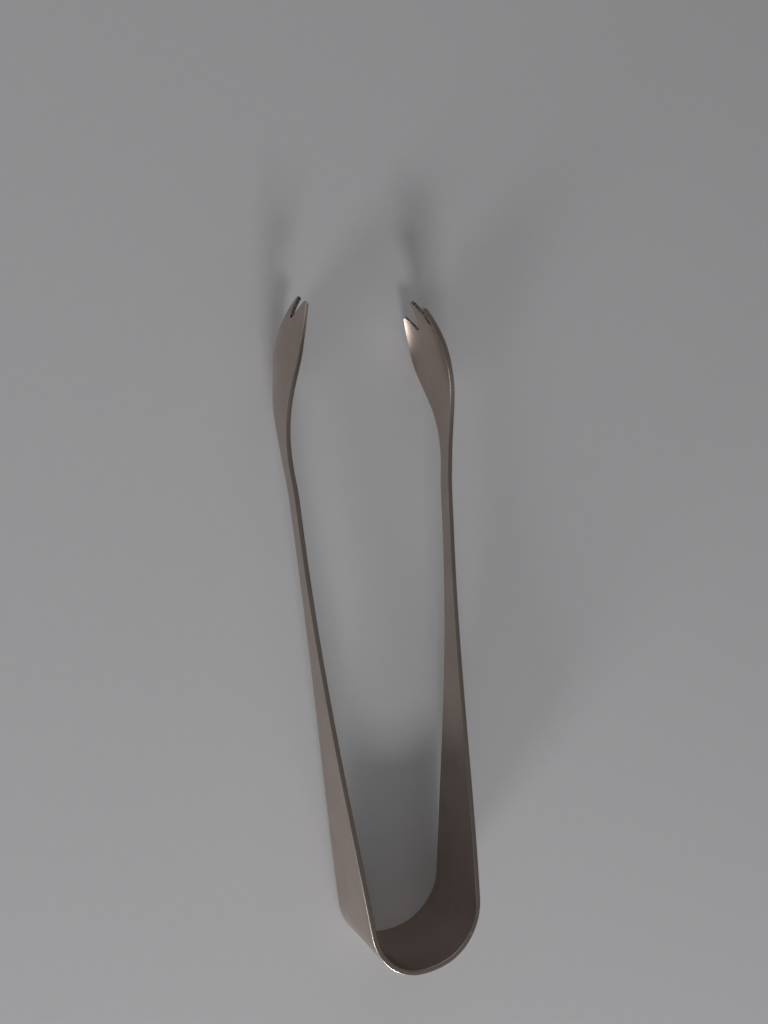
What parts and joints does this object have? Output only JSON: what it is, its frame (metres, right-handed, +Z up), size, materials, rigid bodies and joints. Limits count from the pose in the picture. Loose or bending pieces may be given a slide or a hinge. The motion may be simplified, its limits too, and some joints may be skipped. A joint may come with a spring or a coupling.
{
  "type": "spring tongs",
  "caption": "Sprung tongs for ice or sugar, bent from a tapered steel strip: a wide bow, slender arms and dished claws with pointed tines that close when squeezed.",
  "frame": {"origin": "middle of the bow's lower edge at its crown, where the tongs rest, in the middle of the metal's thickness", "axes": "+Y from the bow to the claws along the plane of symmetry, +X from the left arm to the right arm, +Z up across the width of the strip"},
  "size_m": [0.0454, 0.1609, 0.0205],
  "materials": {
    "stainless_steel": "satin, finely brushed"
  },
  "bodies": {
    "bow_crown": {"bow_crown": "stainless_steel"},
    "left_shoulder": {"left_shoulder": "stainless_steel"},
    "left_lower_arm": {"left_grip": "stainless_steel"},
    "left_upper_arm": {"left_shank": "stainless_steel", "left_claw": "stainless_steel"},
    "right_shoulder": {"right_shoulder": "stainless_steel"},
    "right_lower_arm": {"right_grip": "stainless_steel"},
    "right_upper_arm": {"right_shank": "stainless_steel", "right_claw": "stainless_steel"}
  },
  "joints": [
    {"name": "right_bow_flex", "type": "hinge", "parent": "bow_crown", "child": "right_shoulder", "pos_m": [0.00382, 0.00037, 0.01025], "axis": [0, 0, 1], "range_deg": [0, 2.06], "stiffness_Nm_per_rad": 81.6},
    {"name": "right_shoulder_flex", "type": "hinge", "parent": "right_shoulder", "child": "right_lower_arm", "pos_m": [0.01413, 0.01185, 0.01025], "axis": [0, 0, 1], "range_deg": [0, 1.78]},
    {"name": "right_arm_flex", "type": "hinge", "parent": "right_lower_arm", "child": "right_upper_arm", "pos_m": [0.01714, 0.05073, 0.01025], "axis": [0, 0, 1], "range_deg": [0, 2.08]},
    {"name": "left_bow_flex", "type": "hinge", "parent": "bow_crown", "child": "left_shoulder", "pos_m": [-0.00382, 0.00037, 0.01025], "axis": [0, 0, -1], "range_deg": [0, 2.06], "stiffness_Nm_per_rad": 81.6},
    {"name": "left_shoulder_flex", "type": "hinge", "parent": "left_shoulder", "child": "left_lower_arm", "pos_m": [-0.01413, 0.01185, 0.01025], "axis": [0, 0, -1], "range_deg": [0, 1.78]},
    {"name": "left_arm_flex", "type": "hinge", "parent": "left_lower_arm", "child": "left_upper_arm", "pos_m": [-0.01714, 0.05073, 0.01025], "axis": [0, 0, -1], "range_deg": [0, 2.08]}
  ],
  "couplings": [
    {"joint": "right_shoulder_flex", "follows": "right_bow_flex", "ratio": 0.85714},
    {"joint": "right_arm_flex", "follows": "right_bow_flex", "ratio": 1},
    {"joint": "left_shoulder_flex", "follows": "left_bow_flex", "ratio": 0.85714},
    {"joint": "left_arm_flex", "follows": "left_bow_flex", "ratio": 1}
  ]
}
